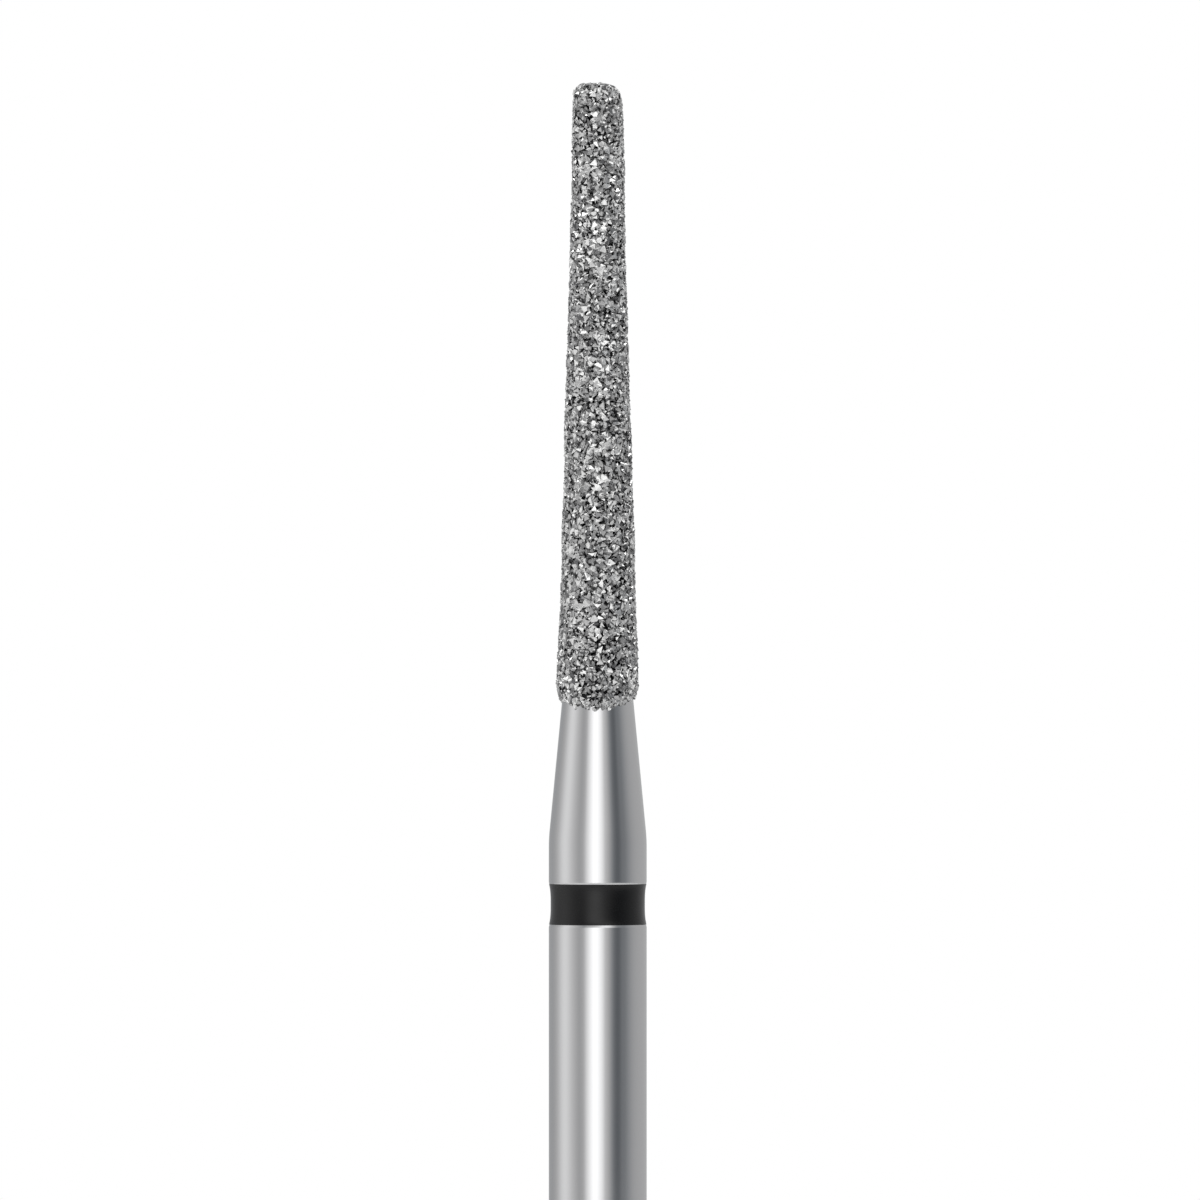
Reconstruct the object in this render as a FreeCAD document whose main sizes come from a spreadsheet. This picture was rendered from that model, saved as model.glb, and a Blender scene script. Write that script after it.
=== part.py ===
# Dental bur: a friction-grip shank, a colour band and a tapered, flat-ended diamond head.
#
# Units are millimetres. The origin is the centre of the shank's end face, and +Z runs along the
# axis to the tip. The bur is three materials, which nothing takes apart:
#   steel_blank   the shank, the neck and the core of the head, turned in one piece
#   colour_band   the black lacquer that fills the groove near the top of the shank
#   diamond_coat  the diamond crystals and the nickel that holds them, plated onto the core
import FreeCAD, Part
import math
import os
import random

import Sketcher
from FreeCAD import Vector

# Every driving dimension, with the words that a drawing would give it.
DIMENSIONS = [
    ("shank_diameter", 1.600, "friction-grip shank, standard size"),
    ("shank_length", 9.650, "end face to the start of the neck"),
    ("end_chamfer", 0.200, "45 degree lead-in at the end face"),
    ("neck_length", 2.230, "start of the neck to the shoulder of the core"),
    ("neck_top_diameter", 1.170, "neck where it meets the shoulder"),
    ("shoulder_height", 0.080, "height over which the neck steps in to the core"),
    ("band_height", 8.570, "end face to the middle of the colour band"),
    ("band_width", 0.670, "height of the band between the groove's walls"),
    ("band_hollow", 0.015, "how far the groove's floor and the lacquer sink at mid width"),
    ("groove_depth", 0.065, "shank surface to the edges of the groove's floor"),
    ("edge_break_width", 0.035, "height of the broken edge beside the groove"),
    ("edge_break_drop", 0.012, "radial drop of that broken edge"),
    ("head_length", 10.200, "lower rim of the coat to the tip"),
    ("head_base_diameter", 1.345, "over the crystals, at the head's full lower end"),
    ("head_tip_diameter", 0.810, "over the crystals, at the tip"),
    ("tip_radius", 0.070, "rounded edge of the flat tip, over the crystals"),
    ("coat_thickness", 0.170, "core to the crystals' peaks"),
    ("coat_lap", 0.080, "how far the coat reaches down over the neck"),
    ("rim_wall", 0.040, "thickness of the coat at its lower rim"),
    ("rim_run_out", 0.210, "height over which the coat grows from its rim"),
    ("core_chamfer", 0.030, "chamfer on the end of the core"),
    ("grit_pitch", 0.205, "mean distance between neighbouring crystals"),
    ("grit_relief", 0.075, "crystals' peaks above the nickel between them"),
]

# Places that more than one feature uses, worked out from the dimensions.
SHANK_RADIUS = "Dimensions.shank_diameter / 2"
NECK_TOP_RADIUS = "Dimensions.neck_top_diameter / 2"
NECK_TOP = "Dimensions.shank_length + Dimensions.neck_length"
RIM_HEIGHT = f"{NECK_TOP} - Dimensions.coat_lap"
TIP_HEIGHT = f"{RIM_HEIGHT} + Dimensions.head_length"
CORE_BASE_RADIUS = "Dimensions.head_base_diameter / 2 - Dimensions.coat_thickness"
CORE_TIP_RADIUS = "Dimensions.head_tip_diameter / 2 - Dimensions.coat_thickness"
CORE_TOP = f"{TIP_HEIGHT} - Dimensions.coat_thickness"
GROOVE_FLOOR_RADIUS = f"{SHANK_RADIUS} - Dimensions.groove_depth"
BROKEN_EDGE_RADIUS = f"{SHANK_RADIUS} - Dimensions.edge_break_drop"
GROOVE_BOTTOM = "Dimensions.band_height - Dimensions.band_width / 2"
GROOVE_TOP = "Dimensions.band_height + Dimensions.band_width / 2"
GROOVE_CUTTER_RADIUS = "Dimensions.shank_diameter"
HOLLOW = "Dimensions.band_hollow"
HOLLOW_RADIUS = f"(Dimensions.band_width ^ 2 / 4 + {HOLLOW} ^ 2) / (2 * {HOLLOW})"

# How the crystals lie. The stray is a share of the pitch, the reach a share of the way from a
# crystal's middle to the nickel beside it, and the sinks are shares of the relief.
LAYOUT_SEED = 173
CENTRE_STRAY = 0.14
CROWN_CORNERS = 3
CROWN_REACH = (0.35, 0.75)
CROWN_SINK = (0.0, 0.5)
NICKEL_SINK = (0.7, 1.0)
ROW_TO_PITCH = math.sqrt(3) / 2

# What holds a corner or a side of a sketch, across and up.
HOLDS = ("DistanceX", "DistanceY")
PARALLELS = ("Vertical", "Horizontal")
SAME_PLACE_MM = 1e-6


def make_sheet(doc):
    """Writes the driving dimensions to the sheet that every feature reads."""
    sheet = doc.addObject("Spreadsheet::Sheet", "Dimensions")
    for row, (alias, value, note) in enumerate(DIMENSIONS, start=1):
        sheet.set(f"A{row}", note)
        sheet.set(f"B{row}", str(value))
        sheet.setAlias(f"B{row}", alias)
    doc.recompute()
    return sheet


def make_body(doc, label):
    """An empty body under the sub-part's own label."""
    body = doc.addObject("PartDesign::Body", label)
    body.Label = label
    return body


def half_section(body, name, corners, hollow_sides=()):
    """A closed sketch of (radius, height) expressions, on the plane through the body's axis.

    Sides join the corners in order, and are numbered from the first corner. The hollow sides are
    arcs that sink towards the axis at mid height.
    """
    sketch = body.newObject("Sketcher::SketchObject", name)
    plane = next(item for item in body.Origin.OriginFeatures if item.Role == "XZ_Plane")
    sketch.AttachmentSupport = (plane, [""])
    sketch.MapMode = "FlatFace"
    places = [Vector(*(float(body.evalExpression(text)) for text in corner)) for corner in corners]
    sink = Vector(float(body.evalExpression(HOLLOW)), 0)
    ends = []
    for side, here in enumerate(places):
        there = places[(side + 1) % len(places)]
        if side in hollow_sides:
            sketch.addGeometry(Part.Arc(here, (here + there) / 2 - sink, there))
        else:
            sketch.addGeometry(Part.LineSegment(here, there))
        starts_here = sketch.getPoint(side, 1).distanceToPoint(here) < SAME_PLACE_MM
        ends.append((1, 2) if starts_here else (2, 1))
    for side, (near, far) in enumerate(ends):
        after = (side + 1) % len(ends)
        sketch.addConstraint(Sketcher.Constraint("Coincident", side, far, after, ends[after][0]))
        if side in hollow_sides:
            radius = float(body.evalExpression(HOLLOW_RADIUS))
            number = sketch.addConstraint(Sketcher.Constraint("Radius", side, radius))
            sketch.setExpression(f"Constraints[{number}]", HOLLOW_RADIUS)
        for axis, (kind, parallel, text) in enumerate(zip(HOLDS, PARALLELS, corners[side])):
            straight = side and side - 1 not in hollow_sides
            if straight and text == corners[side - 1][axis]:
                sketch.addConstraint(Sketcher.Constraint(parallel, side - 1))
            else:
                hold_corner(sketch, kind, (side, near), text)
    return sketch


def hold_corner(sketch, kind, point, text):
    """Holds one coordinate of a corner on its axis, or at the distance that the text gives.

    A sketch numbers its level axis -1 and its upright one -2, and its origin is -1's first point.
    """
    if text == "0":
        axis = -2 if kind == "DistanceX" else -1
        sketch.addConstraint(Sketcher.Constraint("PointOnObject", *point, axis))
        return
    distance = float(sketch.evalExpression(text))
    number = sketch.addConstraint(Sketcher.Constraint(kind, -1, 1, *point, distance))
    sketch.setExpression(f"Constraints[{number}]", text)


def turn(body, kind, name, sketch):
    """A Revolution or Groove of a half section, all the way round the body's axis."""
    feature = body.newObject(f"PartDesign::{kind}", name)
    feature.Profile = (sketch, [""])
    feature.ReferenceAxis = (sketch, ["V_Axis"])
    feature.Angle = 360
    body.Document.recompute()
    return feature


def chamfer_rim(body, name, radius, height, leg):
    """A 45 degree chamfer on the round edge at a radius and height."""
    base = body.Tip
    wanted = Vector(float(body.evalExpression(radius)), 0, float(body.evalExpression(height)))
    on_edge = [
        f"Edge{number}"
        for number, edge in enumerate(base.Shape.Edges, start=1)
        if isinstance(edge.Curve, Part.Circle)
        and edge.distToShape(Part.Vertex(wanted))[0] < SAME_PLACE_MM
    ]
    feature = body.newObject("PartDesign::Chamfer", name)
    feature.Base = (base, on_edge)
    feature.setExpression("Size", leg)
    body.Document.recompute()
    return feature


def make_steel_blank(doc):
    """The shank with its band groove, the tapered neck and the core under the coat."""
    body = make_body(doc, "steel_blank")
    outline = [
        ("0", "0"),
        (SHANK_RADIUS, "0"),
        (SHANK_RADIUS, "Dimensions.shank_length"),
        (NECK_TOP_RADIUS, NECK_TOP),
        (CORE_BASE_RADIUS, f"{NECK_TOP} + Dimensions.shoulder_height"),
        (CORE_TIP_RADIUS, CORE_TOP),
        ("0", CORE_TOP),
    ]
    turn(body, "Revolution", "turned_blank", half_section(body, "blank_section", outline))
    groove = [
        (SHANK_RADIUS, f"{GROOVE_BOTTOM} - Dimensions.edge_break_width"),
        (BROKEN_EDGE_RADIUS, GROOVE_BOTTOM),
        (GROOVE_FLOOR_RADIUS, GROOVE_BOTTOM),
        (GROOVE_FLOOR_RADIUS, GROOVE_TOP),
        (BROKEN_EDGE_RADIUS, GROOVE_TOP),
        (SHANK_RADIUS, f"{GROOVE_TOP} + Dimensions.edge_break_width"),
        (GROOVE_CUTTER_RADIUS, f"{GROOVE_TOP} + Dimensions.edge_break_width"),
        (GROOVE_CUTTER_RADIUS, f"{GROOVE_BOTTOM} - Dimensions.edge_break_width"),
    ]
    floor_side = groove.index((GROOVE_FLOOR_RADIUS, GROOVE_BOTTOM))
    turn(body, "Groove", "band_groove", half_section(body, "groove_section", groove, [floor_side]))
    chamfer_rim(body, "shank_lead_in", SHANK_RADIUS, "0", "Dimensions.end_chamfer")
    chamfer_rim(body, "core_end", CORE_TIP_RADIUS, CORE_TOP, "Dimensions.core_chamfer")
    return body


def make_colour_band(doc):
    """The ring of lacquer that fills the groove: it follows the groove's hollow floor."""
    body = make_body(doc, "colour_band")
    section = [
        (GROOVE_FLOOR_RADIUS, GROOVE_BOTTOM),
        (BROKEN_EDGE_RADIUS, GROOVE_BOTTOM),
        (BROKEN_EDGE_RADIUS, GROOVE_TOP),
        (GROOVE_FLOOR_RADIUS, GROOVE_TOP),
    ]
    outer_side, inner_side = 1, 3
    sketch = half_section(body, "band_section", section, [outer_side, inner_side])
    turn(body, "Revolution", "lacquer_ring", sketch)
    return body


def coat_profile(sheet, rim_height):
    """The outline over the crystals' peaks, from the coat's rim to the middle of the tip.

    X is the radius. It runs out from the rim, up the taper, round the edge of the tip and in to
    the axis.
    """
    neck_slope = (sheet.shank_diameter - sheet.neck_top_diameter) / 2 / sheet.neck_length
    neck_radius = sheet.neck_top_diameter / 2 + neck_slope * sheet.coat_lap
    tip_height = rim_height + sheet.head_length
    rim = Vector(neck_radius + sheet.rim_wall, 0, rim_height)
    base = Vector(sheet.head_base_diameter / 2, 0, rim_height + sheet.rim_run_out)
    corner = Vector(sheet.head_tip_diameter / 2, 0, tip_height)
    middle = Vector(0, 0, tip_height)
    up_taper = (corner - base).normalize()
    to_axis = (middle - corner).normalize()
    setback = sheet.tip_radius * math.tan(up_taper.getAngle(to_axis) / 2)
    edge_start = corner - up_taper * setback
    edge_end = corner + to_axis * setback
    edge_centre = edge_end - Vector(0, 0, sheet.tip_radius)
    edge_middle = edge_centre + (corner - edge_centre).normalize() * sheet.tip_radius
    return Part.Wire(
        [
            Part.makeLine(rim, base),
            Part.makeLine(base, edge_start),
            Part.Arc(edge_start, edge_middle, edge_end).toShape(),
            Part.makeLine(edge_end, middle),
        ]
    )


class GritSurface:
    """The outside of the coat: rows of crystals with nickel between them, in flat triangles.

    Each crystal is a point of the outline's surface. Rows of them lie round the head, every crystal
    about one pitch from its neighbours, and triangles join each row to the next. The nickel has its
    low point in the middle of each of those triangles, so the low points round a crystal are its
    foot. The crystal stands on that foot and ends in a small, tilted crown.
    """

    def __init__(self, sheet, rim_height):
        """Lays the crystals out and joins them."""
        self.sheet = sheet
        self.draw = random.Random(LAYOUT_SEED)
        self.points = []
        self.triangles = []
        outline = coat_profile(sheet, rim_height)
        row_count = round(outline.Length / (sheet.grit_pitch * ROW_TO_PITCH))
        self.stations = outline.discretize(Number=2 * row_count)
        self.rows = [self.crystal_row(row) for row in range(row_count)]
        self.join_rows()
        self.add_rim()
        for row in self.rows:
            for crystal in row:
                self.add_crystal(crystal)

    def crystal_row(self, row):
        """The crystals of one row: the first is half a step above the rim, the last on the axis."""
        here = self.stations[2 * row + 1]
        before = self.stations[2 * row]
        after = self.stations[min(2 * row + 2, len(self.stations) - 1)]
        along = (after - before).normalize()
        count = max(1, round(2 * math.pi * here.x / self.sheet.grit_pitch))
        on_axis = count == 1
        stray = 0 if on_axis else CENTRE_STRAY * self.sheet.grit_pitch
        phase = 0 if on_axis else self.draw.random()
        crystals = []
        for place in range(count):
            sideways, upward = self.draw.uniform(-stray, stray), self.draw.uniform(-stray, stray)
            radius = here.x + along.x * upward
            angle = 2 * math.pi * (place + phase) / count + (0 if on_axis else sideways / radius)
            outward = Vector(math.cos(angle), math.sin(angle), 0)
            crystals.append(Crystal(angle, outward, radius, here.z + along.z * upward, along))
        return crystals

    def join_rows(self):
        """Gives the crystals round each low point of the nickel that point as part of their foot."""
        for lower, upper in zip(self.rows, self.rows[1:]):
            for corners in zip_loops(lower, upper, lambda crystal: crystal.angle):
                middle = sum((crystal.peak for crystal in corners), Vector()) / 3
                normal = sum((crystal.normal for crystal in corners), Vector()).normalize()
                sink = self.sheet.grit_relief * self.draw.uniform(*NICKEL_SINK)
                low_point = self.add_point(middle - normal * sink)
                for crystal in corners:
                    crystal.foot.append(low_point)

    def add_rim(self):
        """Ends the first row's feet on the coat's rim, with a point between every two crystals."""
        first_row = self.rows[0]
        rim = self.stations[0]
        for crystal, after in zip(first_row, first_row[1:] + first_row[:1]):
            ahead = (after.angle - crystal.angle) % (2 * math.pi)
            angle = crystal.angle + ahead / 2
            outward = Vector(math.cos(angle), math.sin(angle), 0)
            corner = self.add_point(outward * rim.x + Vector(0, 0, rim.z))
            crystal.foot.append(corner)
            after.foot.append(corner)

    def add_crystal(self, crystal):
        """The crown of a crystal, and the facets from its foot up to the crown."""
        foot = sorted(crystal.foot, key=lambda index: crystal.bearing(self.points[index]))
        first = self.draw.randrange(len(foot))
        crown = []
        for corner in range(CROWN_CORNERS):
            towards = foot[(first + round(corner * len(foot) / CROWN_CORNERS)) % len(foot)]
            reach = self.draw.uniform(*CROWN_REACH)
            sink = self.sheet.grit_relief * self.draw.uniform(*CROWN_SINK)
            crown.append(self.add_point(crystal.crown_corner(self.points[towards], reach, sink)))
        crown.sort(key=lambda index: crystal.bearing(self.points[index]))
        self.triangles.append(tuple(crown))
        self.triangles += zip_loops(foot, crown, lambda index: crystal.bearing(self.points[index]))

    def add_point(self, point):
        """Keeps a point and gives its number."""
        self.points.append(point)
        return len(self.points) - 1

    def shape(self):
        """The surface's faces, open at the rim."""
        faces = Part.Shape()
        faces.makeShapeFromMesh((self.points, self.triangles), SAME_PLACE_MM, False)
        return faces


class Crystal:
    """One crystal of the coat: its peak, the way it faces, and the points round its foot."""

    def __init__(self, angle, outward, radius, height, along):
        """Stands on the outline's surface; along is the outline's direction there."""
        self.angle = angle
        self.peak = outward * radius + Vector(0, 0, height)
        self.round_head = Vector(-outward.y, outward.x, 0)
        self.up_head = outward * along.x + Vector(0, 0, along.z)
        self.normal = self.round_head.cross(self.up_head)
        self.foot = []

    def bearing(self, point):
        """The angle at which a point lies from the peak, seen from outside the head."""
        away = point - self.peak
        return math.atan2(away.dot(self.up_head), away.dot(self.round_head))

    def crown_corner(self, foot_point, reach, sink):
        """A point part of the way to a point of the foot, sunk a little below the peak."""
        away = foot_point - self.peak
        level = away - self.normal * away.dot(self.normal)
        return self.peak + level * reach - self.normal * sink


def zip_loops(outer, inner, angle_of):
    """Triangles between two closed loops, or a loop and a point, that run the same way round.

    Both loops start beside the outer one's first item. Each step moves on along the loop whose
    next side has its middle nearer, by the angle that angle_of gives an item.
    """
    start = angle_of(outer[0])

    def ahead(item):
        """How far round an item lies from the start."""
        return (angle_of(item) - start) % (2 * math.pi)

    outer_turn = [ahead(item) for item in outer] + [2 * math.pi]
    first = min(range(len(inner)), key=lambda number: ahead(inner[number]))
    inner = inner[first:] + inner[:first]
    inner_turn = [ahead(item) for item in inner]
    inner_turn.append(inner_turn[0] + 2 * math.pi)
    triangles = []
    near, far = 0, 0
    while near < len(outer) or far < len(inner):
        outer_middle = sum(outer_turn[near : near + 2]) if near < len(outer) else math.inf
        inner_middle = sum(inner_turn[far : far + 2]) if far < len(inner) else math.inf
        outer_here, inner_here = outer[near % len(outer)], inner[far % len(inner)]
        if outer_middle <= inner_middle:
            near += 1
            triangles.append((outer_here, outer[near % len(outer)], inner_here))
        else:
            far += 1
            if len(inner) > 1:
                triangles.append((outer_here, inner[far % len(inner)], inner_here))
    return triangles


def edges_at(shape, height):
    """The edges of a shape that lie level, at a height."""
    return [
        edge
        for edge in shape.Edges
        if all(abs(vertex.Z - height) < SAME_PLACE_MM for vertex in edge.Vertexes)
    ]


def make_diamond_coat(doc, sheet, steel_blank):
    """The plated coat: all that lies between the grit's surface and the steel under it."""
    reach = doc.addObject("Part::Cylinder", "coat_reach")
    reach.setExpression("Radius", SHANK_RADIUS)
    reach.setExpression("Height", "Dimensions.head_length")
    reach.setExpression("Placement.Base.z", RIM_HEIGHT)
    covered = doc.addObject("Part::Common", "covered_steel")
    covered.Base = steel_blank
    covered.Tool = reach
    doc.recompute()
    rim_height = reach.Placement.Base.z
    grit = GritSurface(sheet, rim_height).shape()
    outer = Part.Wire(Part.sortEdges(edges_at(grit, rim_height))[0])
    inner = Part.Wire(edges_at(covered.Shape, rim_height))
    rim = Part.makeFace([outer, inner], "Part::FaceMakerBullseye")
    seat = [
        face.reversed()
        for face in covered.Shape.Faces
        if any(vertex.Z > rim_height + SAME_PLACE_MM for vertex in face.Vertexes)
    ]
    coat = doc.addObject("Part::Feature", "diamond_coat")
    coat.Label = "diamond_coat"
    coat.Shape = Part.Solid(Part.Shell(grit.Faces + [rim.reversed()] + seat))
    return coat


def check_model(doc, sub_parts):
    """Stops with a plain message where a feature failed or a sub-part isn't one sound solid."""
    for item in doc.Objects:
        if {"Invalid", "Error"} & set(item.State):
            raise RuntimeError(f"{item.Name} failed: {item.State}")
    for sub_part in sub_parts:
        shape = sub_part.Shape
        if shape.isNull() or not shape.isValid() or len(shape.Solids) != 1:
            raise RuntimeError(f"{sub_part.Label} isn't one sound solid")


def main():
    """Builds the bur and writes one file for each sub-part."""
    doc = FreeCAD.newDocument("dental_bur")
    sheet = make_sheet(doc)
    steel_blank = make_steel_blank(doc)
    colour_band = make_colour_band(doc)
    diamond_coat = make_diamond_coat(doc, sheet, steel_blank)
    sub_parts = [steel_blank, colour_band, diamond_coat]
    check_model(doc, sub_parts)
    os.makedirs("parts", exist_ok=True)
    for sub_part in sub_parts:
        sub_part.Shape.exportStep(f"parts/{sub_part.Label}.step")
        box = sub_part.Shape.optimalBoundingBox(False)
        print(
            f"{sub_part.Label}: {len(sub_part.Shape.Faces)} faces, {sub_part.Shape.Volume:.3f} mm3, "
            f"z {box.ZMin:.3f} to {box.ZMax:.3f}, across {box.XLength:.3f} by {box.YLength:.3f}"
        )


main()
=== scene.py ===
"""Looks of a dental bur: a ground steel shank, a black colour band and a tapered diamond head.

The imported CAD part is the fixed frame. Sizes here are in millimetres, as a tool maker's drawing
gives them, and turn into metres where a mesh is made. The bur stands on its shank's end at the
origin, with its axis along +Z, and the camera looks along +Y.
"""
import logging
import math
from dataclasses import dataclass, field
from enum import Enum
from typing import Any

import bpy
import numpy as np
from bpy.types import Material, Node, NodeSocket, NodeTree, Object
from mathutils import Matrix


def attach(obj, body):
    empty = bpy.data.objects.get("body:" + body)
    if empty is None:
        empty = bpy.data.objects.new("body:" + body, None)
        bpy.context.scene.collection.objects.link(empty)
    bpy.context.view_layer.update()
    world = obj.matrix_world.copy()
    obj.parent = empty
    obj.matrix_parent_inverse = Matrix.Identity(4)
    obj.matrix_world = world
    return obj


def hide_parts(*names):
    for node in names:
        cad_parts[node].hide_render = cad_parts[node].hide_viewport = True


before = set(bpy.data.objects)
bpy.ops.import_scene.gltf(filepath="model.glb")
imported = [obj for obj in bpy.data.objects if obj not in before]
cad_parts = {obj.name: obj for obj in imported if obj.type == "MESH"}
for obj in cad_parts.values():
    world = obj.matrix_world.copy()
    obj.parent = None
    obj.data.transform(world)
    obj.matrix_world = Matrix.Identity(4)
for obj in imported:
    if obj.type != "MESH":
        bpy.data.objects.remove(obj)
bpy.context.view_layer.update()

MM = 0.001
BODY = "root"
LOG = logging.getLogger("dental_bur")
WHITE = "#FFFFFF"

# A turned surface stops at this radius, and a pole on the axis closes it.
NEAR_AXIS = 0.02

Profile = np.ndarray
Points = np.ndarray


class Slot(str, Enum):
    """The record's material slots. No piece in this script is given one."""

    STEEL = "stainless_steel"
    LACQUER = "black_lacquer"
    DIAMOND = "nickel_bonded_diamond"


class Shading(Enum):
    """How a mesh's faces meet: turned surfaces are smooth, crystals show each facet."""

    SMOOTH = "smooth"
    FACETED = "faceted"


# Colours and nodes.


def hex_to_linear(code: str) -> tuple[float, float, float, float]:
    """Turns an sRGB hex colour into the linear colour that a shader takes.

    Args:
        code: colour as "#RRGGBB".

    Returns:
        Linear red, green and blue, and an alpha of 1.
    """
    srgb = np.array([int(code[place:place + 2], 16) for place in (1, 3, 5)]) / 255
    linear = np.where(srgb <= 0.04045, srgb / 12.92, ((srgb + 0.055) / 1.055) ** 2.4)
    return (*linear.tolist(), 1.0)


def add_node(
    tree: NodeTree,
    kind: str,
    settings: dict[str, Any] | None = None,
    inputs: dict[str | int, Any] | None = None,
) -> Node:
    """Adds one node to a tree with its settings, values and links.

    Args:
        tree: the tree that gets the node.
        kind: Blender's name for the type of node, without its ShaderNode.
        settings: the node's own properties, by name.
        inputs: a value, or the output that is linked in, for each input's name or number.

    Returns:
        The new node.
    """
    node = tree.nodes.new(f"ShaderNode{kind}")
    for name, value in (settings or {}).items():
        setattr(node, name, value)
    for key, value in (inputs or {}).items():
        if isinstance(value, NodeSocket):
            tree.links.new(value, node.inputs[key])
        else:
            node.inputs[key].default_value = value
    return node


def new_material(name: str) -> tuple[Material, NodeTree]:
    """Makes an empty node material.

    Args:
        name: the material's name.

    Returns:
        The material and its tree, which has no node yet.
    """
    material = bpy.data.materials.new(name)
    material.use_nodes = True
    material.node_tree.nodes.clear()
    return material, material.node_tree


def close_material(tree: NodeTree, shader: NodeSocket) -> None:
    """Sends a shader to the material's surface."""
    add_node(tree, "OutputMaterial", inputs={"Surface": shader})


@dataclass(frozen=True)
class Shine:
    """How a finish's roughness follows a pattern.

    It goes from the first roughness to the second while the pattern goes over its span. Most of
    a noise lies between 0.3 and 0.7.
    """

    pattern: NodeSocket
    roughness: tuple[float, float]
    span: tuple[float, float] = (0.3, 0.7)


@dataclass(frozen=True)
class Relief:
    """How a finish's skin follows a pattern: it rises with it, or falls with it where sunk."""

    pattern: NodeSocket
    depth_mm: float
    sunk: bool = False


def close_finish(tree: NodeTree, shine: Shine, relief: Relief, shader: dict[str, Any]) -> None:
    """Closes a material with a surface whose shine and fine relief follow patterns.

    Args:
        tree: the material's tree.
        shine: what the roughness follows.
        relief: what the relief follows.
        shader: the shader's other inputs, by name.
    """
    roughness = add_node(
        tree,
        "MapRange",
        inputs={
            "Value": shine.pattern,
            "From Min": shine.span[0],
            "From Max": shine.span[1],
            "To Min": shine.roughness[0],
            "To Max": shine.roughness[1],
        },
    )
    bump = add_node(
        tree,
        "Bump",
        {"invert": relief.sunk},
        {"Height": relief.pattern, "Strength": 1.0, "Distance": relief.depth_mm * MM},
    )
    surface = add_node(
        tree,
        "BsdfPrincipled",
        inputs={
            "Roughness": roughness.outputs["Result"], "Normal": bump.outputs["Normal"], **shader
        },
    )
    close_material(tree, surface.outputs["BSDF"])


# Meshes.


def bend_corners(corners: list[tuple[float, float, float]], steps: int = 8) -> Profile:
    """Draws a profile of straight lines whose corners are eased.

    Each eased corner is the parabola (1 - t)^2 A + 2 t (1 - t) C + t^2 B, where C is the corner
    and A and B lie on its two sides at the easing distance.

    Args:
        corners: radius, height and easing distance of each corner, in millimetres.
        steps: points along each eased corner.

    Returns:
        Radius and height of each point of the profile, in millimetres.
    """
    places = np.array([corner[:2] for corner in corners])
    drawn = [places[:1]]
    share = np.linspace(0, 1, steps)[:, None]
    for before, here, after, (_, _, ease) in zip(places, places[1:], places[2:], corners[1:]):
        if ease == 0:
            drawn.append(here[None])
            continue
        start = here + (before - here) * ease / np.linalg.norm(before - here)
        end = here + (after - here) * ease / np.linalg.norm(after - here)
        drawn.append((1 - share) ** 2 * start + 2 * share * (1 - share) * here + share**2 * end)
    drawn.append(places[-1:])
    return np.concatenate(drawn)


def even_spacing(profile: Profile, count: int) -> Profile:
    """Puts points at equal steps of length along a profile.

    Args:
        profile: radius and height of each point.
        count: how many points to put.

    Returns:
        Radius and height of each new point.
    """
    run = np.concatenate([[0], np.cumsum(np.linalg.norm(np.diff(profile, axis=0), axis=1))])
    places = np.linspace(0, run[-1], count)
    return np.stack([np.interp(places, run, column) for column in profile.T], axis=1)


def hollow_side(
    radius: float, low: float, high: float, sink: float, power: float, steps: int = 33
) -> Profile:
    """Draws an upright side that sinks towards the axis between its ends.

    The radius at height z is radius - sink (1 - |s|^power), where s runs from -1 to 1.

    Args:
        radius: radius at both ends.
        low: height of the lower end.
        high: height of the upper end.
        sink: how far the middle lies nearer the axis.
        power: 2 for a round hollow, more for a flat one with steep ends.
        steps: points along the side.

    Returns:
        Radius and height of each point, from the lower end up.
    """
    place = np.linspace(-1, 1, steps)
    radii = radius - sink * (1 - np.abs(place) ** power)
    return np.stack([radii, (low + high) / 2 + place * (high - low) / 2], axis=1)


def around_axis(
    radius: np.ndarray | float, angle: np.ndarray, height: np.ndarray | float
) -> Points:
    """Puts radius r, angle a and height z at the point (r cos a, r sin a, z)."""
    parts = np.broadcast_arrays(radius * np.cos(angle), radius * np.sin(angle), height)
    return np.stack(parts, axis=-1)


def turn_profile(profile: Profile, columns: int) -> Points:
    """Turns a profile about the axis.

    Args:
        profile: radius and height of each ring.
        columns: points in each ring.

    Returns:
        Points by ring and column.
    """
    angles = 2 * math.pi * np.arange(columns) / columns
    return around_axis(profile[:, :1], angles, profile[:, 1:])


def ring_quads(numbers: np.ndarray) -> np.ndarray:
    """Joins each ring of points to the next with quads.

    Args:
        numbers: point numbers by ring and column.

    Returns:
        The four point numbers of each quad, which faces right of the way from ring to ring.
    """
    beside = np.roll(numbers, -1, axis=1)
    quads = np.stack([numbers[:-1], beside[:-1], beside[1:], numbers[1:]], axis=-1)
    return quads.reshape(-1, 4)


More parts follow.
